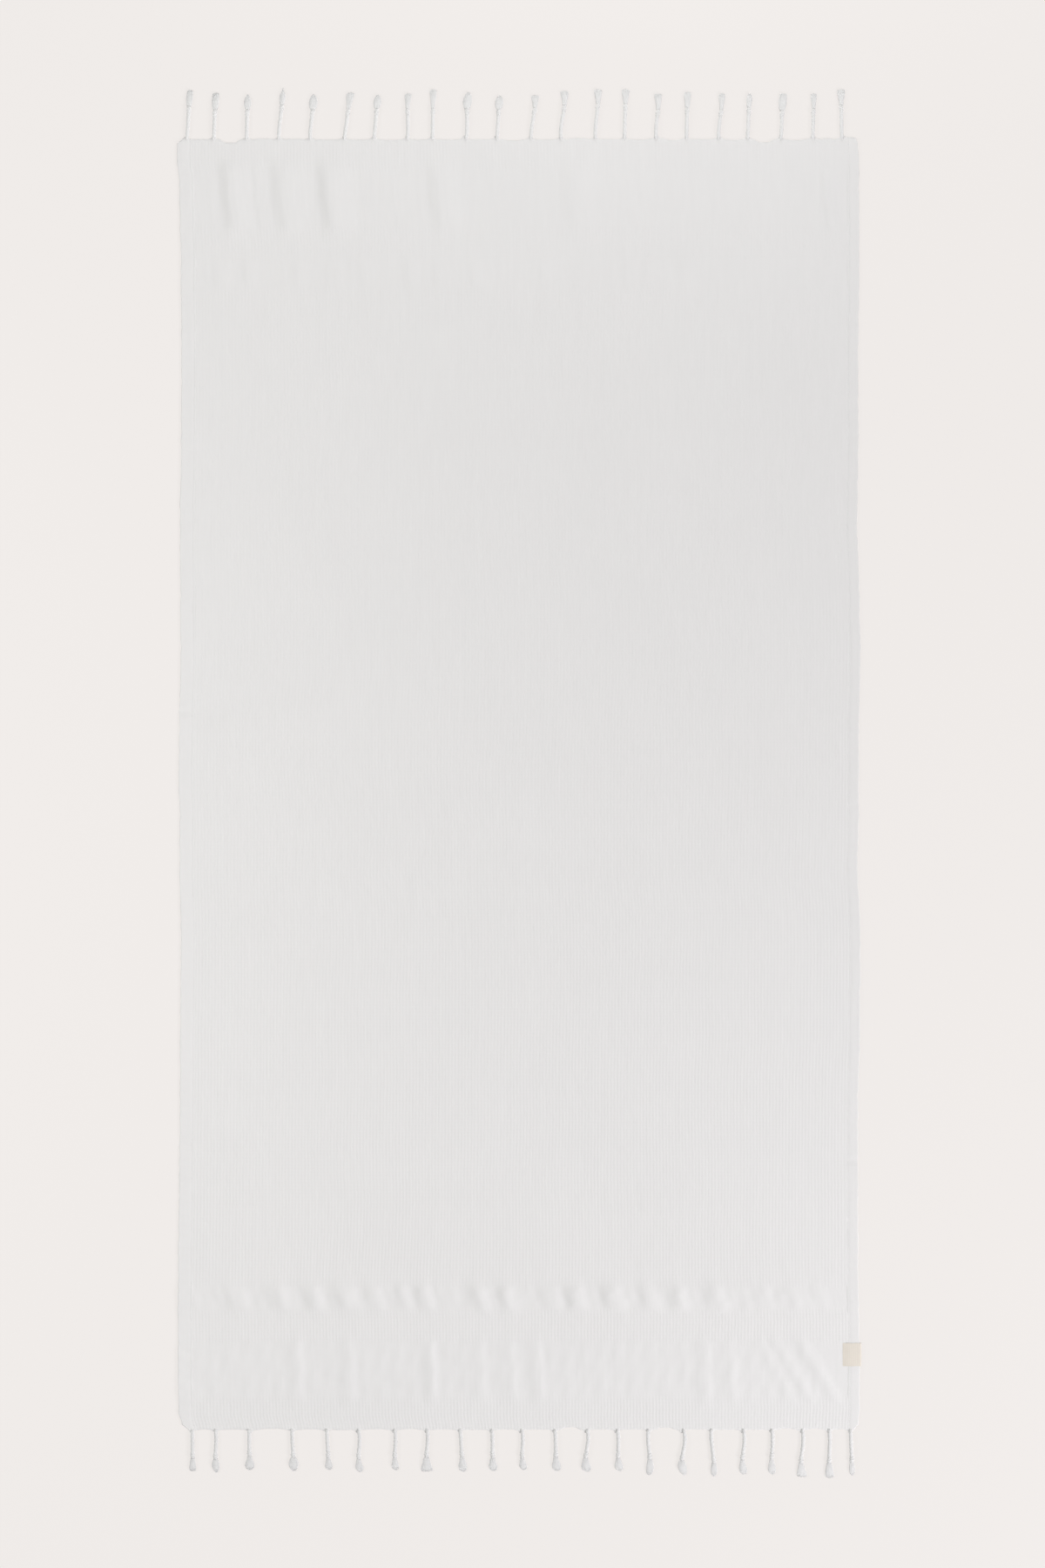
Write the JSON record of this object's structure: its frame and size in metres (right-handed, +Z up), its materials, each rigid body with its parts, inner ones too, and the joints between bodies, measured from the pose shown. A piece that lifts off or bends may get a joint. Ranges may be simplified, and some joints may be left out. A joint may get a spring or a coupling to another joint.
{
  "type": "hammam towel",
  "caption": "Flat waffle-weave cotton hammam towel with stitched side hems, puckered plain bands, twisted and knotted tassel fringes at both ends and a folded side label.",
  "frame": {"origin": "centre of the towel's outline, on the surface that it lies on", "axes": "+Y along the towel from the end with the label to the plain end, +X across it towards the label's side, +Z up"},
  "size_m": [0.9086, 1.8432, 0.007],
  "materials": {
    "cloth": "white ribbed waffle-weave cotton, soft and matte, with smooth plain-weave bands near the ends",
    "fringe": "white cotton yarn, twisted into cords that end in a knot and a brushed tuft",
    "label": "cream woven tape with a fine cross rib, bare of lettering"
  },
  "bodies": {
    "root": {"cloth": "cloth", "fringe_far": "fringe", "fringe_near": "fringe", "label": "label"}
  },
  "joints": []
}
